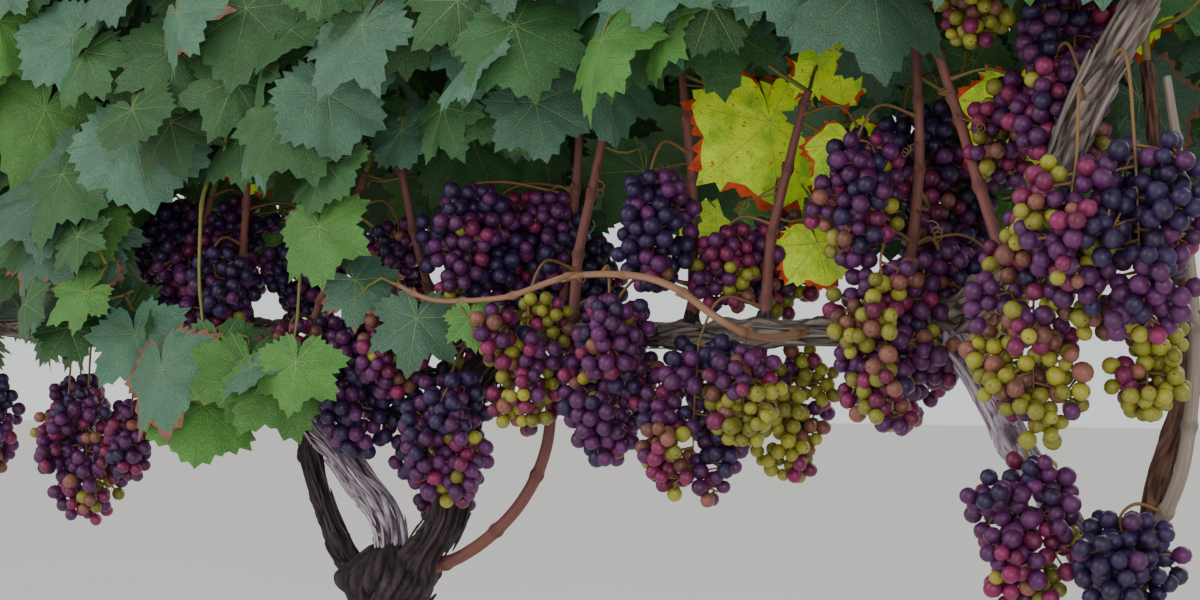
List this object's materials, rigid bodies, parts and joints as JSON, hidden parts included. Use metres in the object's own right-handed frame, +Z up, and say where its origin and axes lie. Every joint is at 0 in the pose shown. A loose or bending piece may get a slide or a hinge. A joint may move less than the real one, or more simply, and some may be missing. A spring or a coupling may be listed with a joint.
{
  "type": "grapevine",
  "caption": "Fruiting grapevine on a short trunk with two level arms, upright leafy canes and hanging bunches of ripening grapes.",
  "frame": {"origin": "middle of the trunk's flat cut at ground level", "axes": "+Z up, X along the row with the thick rising arm at +X, and -Y the side seen in the picture"},
  "size_m": [1.8129, 0.4437, 1.8167],
  "materials": {
    "dark_bark": "matte",
    "pale_bark": "matte",
    "grey_bark": "matte",
    "red_cane": "satin",
    "tan_cane": "satin",
    "deep_leaf": "satin",
    "fresh_leaf": "satin",
    "blue_berries": "satin",
    "purple_berries": "satin",
    "rose_berries": "satin",
    "green_berries": "satin"
  },
  "bodies": {
    "root": {"trunk": "dark_bark", "left_arm": "pale_bark", "left_second_stem": "dark_bark", "right_arm": "dark_bark", "left_cordon": "grey_bark", "right_cordon": "grey_bark", "right_hanging_limb": "pale_bark", "right_rising_arm": "grey_bark", "right_low_stem": "dark_bark", "cane_1": "red_cane", "cane_2": "red_cane", "cane_3": "red_cane", "cane_4": "red_cane", "cane_5": "red_cane", "cane_6": "red_cane", "cane_7": "red_cane", "cane_8": "red_cane", "cane_9": "red_cane", "cane_10": "red_cane", "cane_11": "red_cane", "cane_12": "red_cane", "head_cane": "red_cane", "end_cane": "grey_bark", "arched_cane": "tan_cane", "bunch_01": "purple_berries", "bunch_02": "rose_berries", "bunch_03": "blue_berries", "bunch_04": "purple_berries", "bunch_05": "blue_berries", "bunch_06": "blue_berries", "bunch_07": "purple_berries", "bunch_08": "blue_berries", "bunch_09": "purple_berries", "bunch_10": "blue_berries", "bunch_11": "green_berries", "bunch_12": "blue_berries", "bunch_13": "purple_berries", "bunch_14": "purple_berries", "bunch_15": "rose_berries", "bunch_16": "green_berries", "bunch_17": "purple_berries", "bunch_18": "rose_berries", "bunch_19": "purple_berries", "bunch_20": "green_berries", "bunch_21": "purple_berries", "bunch_22": "blue_berries", "bunch_23": "green_berries", "bunch_24": "purple_berries", "low_leaves_left": "fresh_leaf", "low_leaves_middle": "fresh_leaf", "low_leaves_centre": "fresh_leaf", "arched_cane_leaves": "fresh_leaf", "leaves_1": "deep_leaf", "leaves_2": "deep_leaf", "leaves_3": "deep_leaf", "leaves_4": "deep_leaf", "leaves_5": "deep_leaf", "leaves_6": "deep_leaf", "leaves_7": "deep_leaf", "leaves_8": "deep_leaf"}
  },
  "joints": []
}
